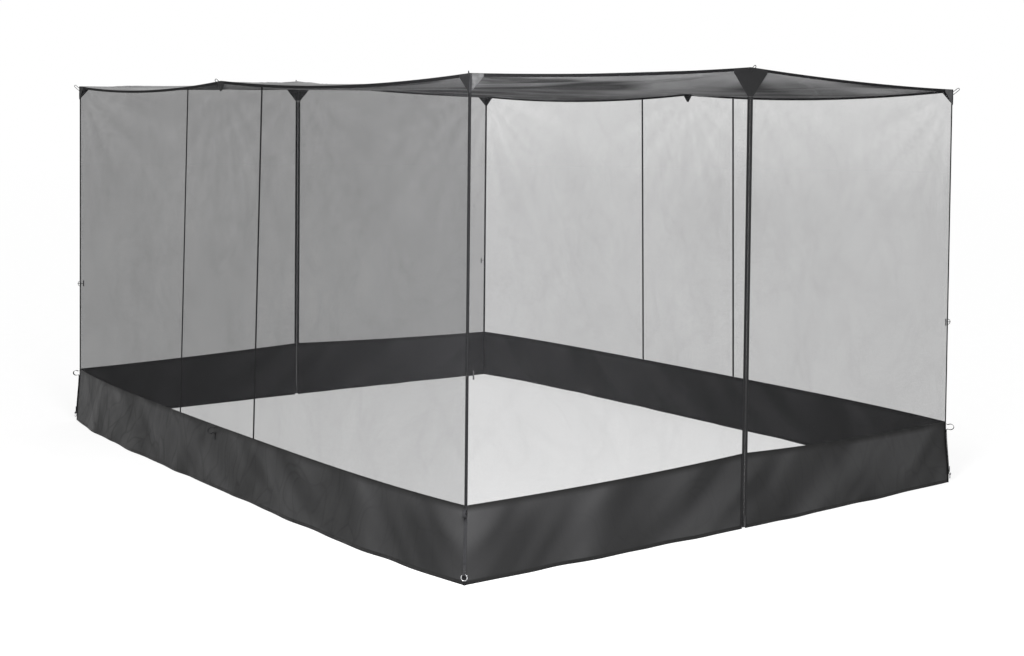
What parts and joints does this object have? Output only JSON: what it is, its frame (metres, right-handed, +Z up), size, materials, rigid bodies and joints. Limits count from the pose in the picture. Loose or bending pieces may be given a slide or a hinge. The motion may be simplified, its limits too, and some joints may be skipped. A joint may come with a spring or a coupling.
{
  "type": "mosquito net tent",
  "caption": "Rectangular floorless mosquito net room, 3.6 x 2.7 x 1.8 m: mesh walls, closed cloth roof, ground skirt, a zipped door in each short wall, eight hanging ties and four peg rings.",
  "frame": {"origin": "centre of the box round the whole tent, on the ground under the hem", "axes": "+Z up, +Y from the front door to the rear door along the long walls, +X to the right seen from in front of the front door"},
  "size_m": [2.9386, 3.7418, 1.8702],
  "materials": {
    "mesh": "fine dark grey polyester mosquito mesh",
    "roof_cloth": "dark grey coated polyester with a soft sheen",
    "skirt_cloth": "dark grey coated polyester, slightly creased",
    "tape": "black woven binding tape",
    "webbing": "black ribbed webbing and braided cord",
    "zip_coil": "dark grey nylon coil on black tape",
    "zip_metal": "black lacquered die-cast metal",
    "ring_metal": "bright plated steel wire",
    "toggle_plastic": "black moulded nylon"
  },
  "bodies": {
    "tent": {"roof_panel": "roof_cloth", "roof_binding": "tape", "left_mesh_front": "mesh", "left_mesh_middle": "mesh", "left_mesh_rear": "mesh", "left_seam_tape_front": "tape", "left_seam_tape_rear": "tape", "left_skirt": "skirt_cloth", "left_middle_tie": "webbing", "left_skirt_loop": "webbing", "right_mesh_front": "mesh", "right_mesh_middle": "mesh", "right_mesh_rear": "mesh", "right_seam_tape_front": "tape", "right_seam_tape_rear": "tape", "right_skirt": "skirt_cloth", "right_middle_tie": "webbing", "right_skirt_loop": "webbing", "front_door_mesh_left": "mesh", "front_door_mesh_right": "mesh", "front_skirt_left": "skirt_cloth", "front_skirt_right": "skirt_cloth", "front_peak_tie": "webbing", "front_zip_tape_left": "zip_coil", "front_zip_tape_right": "zip_coil", "rear_door_mesh_left": "mesh", "rear_door_mesh_right": "mesh", "rear_skirt_left": "skirt_cloth", "rear_skirt_right": "skirt_cloth", "rear_peak_tie": "webbing", "rear_zip_tape_left": "zip_coil", "rear_zip_tape_right": "zip_coil", "front_left_binding": "tape", "front_left_tie": "webbing", "front_left_strap": "webbing", "front_right_binding": "tape", "front_right_tie": "webbing", "front_right_strap": "webbing", "rear_left_binding": "tape", "rear_left_tie": "webbing", "rear_left_strap": "webbing", "rear_right_binding": "tape", "rear_right_tie": "webbing", "rear_right_strap": "webbing"},
    "front_left_peg_ring_body": {"front_left_peg_ring": "ring_metal"},
    "front_left_toggle_body": {"front_left_toggle": "toggle_plastic"},
    "front_right_peg_ring_body": {"front_right_peg_ring": "ring_metal"},
    "front_right_toggle_body": {"front_right_toggle": "toggle_plastic"},
    "front_zip_pull_inner_body": {"front_zip_pull_inner": "zip_metal"},
    "front_zip_pull_outer_body": {"front_zip_pull_outer": "zip_metal"},
    "front_zip_slider_body": {"front_zip_slider": "zip_metal"},
    "rear_left_peg_ring_body": {"rear_left_peg_ring": "ring_metal"},
    "rear_left_toggle_body": {"rear_left_toggle": "toggle_plastic"},
    "rear_right_peg_ring_body": {"rear_right_peg_ring": "ring_metal"},
    "rear_right_toggle_body": {"rear_right_toggle": "toggle_plastic"},
    "rear_zip_pull_inner_body": {"rear_zip_pull_inner": "zip_metal"},
    "rear_zip_pull_outer_body": {"rear_zip_pull_outer": "zip_metal"},
    "rear_zip_slider_body": {"rear_zip_slider": "zip_metal"}
  },
  "joints": [
    {"name": "front_zip_slide", "type": "slide", "parent": "tent", "child": "front_zip_slider_body", "axis": [0, 0, 1], "range_m": [0, 1.685]},
    {"name": "front_outer_pull_hinge", "type": "hinge", "parent": "front_zip_slider_body", "child": "front_zip_pull_outer_body", "pos_m": [0, -1.84715, 0.046], "axis": [-1, 0, 0], "range_deg": [0, 160]},
    {"name": "front_inner_pull_hinge", "type": "hinge", "parent": "front_zip_slider_body", "child": "front_zip_pull_inner_body", "pos_m": [0, -1.83715, 0.046], "axis": [1, 0, 0], "range_deg": [0, 160]},
    {"name": "rear_zip_slide", "type": "slide", "parent": "tent", "child": "rear_zip_slider_body", "axis": [0, 0, 1], "range_m": [0, 1.685]},
    {"name": "rear_outer_pull_hinge", "type": "hinge", "parent": "rear_zip_slider_body", "child": "rear_zip_pull_outer_body", "pos_m": [0, 1.84715, 0.046], "axis": [1, 0, 0], "range_deg": [0, 160]},
    {"name": "rear_inner_pull_hinge", "type": "hinge", "parent": "rear_zip_slider_body", "child": "rear_zip_pull_inner_body", "pos_m": [0, 1.83715, 0.046], "axis": [-1, 0, 0], "range_deg": [0, 160]},
    {"name": "front_left_ring_hinge", "type": "hinge", "parent": "tent", "child": "front_left_peg_ring_body", "pos_m": [-1.36619, -1.81619, 0.04], "axis": [-0.7071, 0.7071, 0], "range_deg": [0, 160]},
    {"name": "front_left_toggle_hinge", "type": "hinge", "parent": "tent", "child": "front_left_toggle_body", "pos_m": [-1.35665, -1.80665, 0.74], "axis": [0, 0, 1], "range_deg": [-265, 0]},
    {"name": "front_right_ring_hinge", "type": "hinge", "parent": "tent", "child": "front_right_peg_ring_body", "pos_m": [1.36619, -1.81619, 0.04], "axis": [-0.7071, -0.7071, 0], "range_deg": [0, 160]},
    {"name": "front_right_toggle_hinge", "type": "hinge", "parent": "tent", "child": "front_right_toggle_body", "pos_m": [1.35665, -1.80665, 0.74], "axis": [0, 0, 1], "range_deg": [0, 265]},
    {"name": "rear_left_ring_hinge", "type": "hinge", "parent": "tent", "child": "rear_left_peg_ring_body", "pos_m": [-1.36619, 1.81619, 0.04], "axis": [0.7071, 0.7071, 0], "range_deg": [0, 160]},
    {"name": "rear_left_toggle_hinge", "type": "hinge", "parent": "tent", "child": "rear_left_toggle_body", "pos_m": [-1.35665, 1.80665, 0.74], "axis": [0, 0, 1], "range_deg": [0, 265]},
    {"name": "rear_right_ring_hinge", "type": "hinge", "parent": "tent", "child": "rear_right_peg_ring_body", "pos_m": [1.36619, 1.81619, 0.04], "axis": [0.7071, -0.7071, 0], "range_deg": [0, 160]},
    {"name": "rear_right_toggle_hinge", "type": "hinge", "parent": "tent", "child": "rear_right_toggle_body", "pos_m": [1.35665, 1.80665, 0.74], "axis": [0, 0, 1], "range_deg": [-265, 0]}
  ]
}
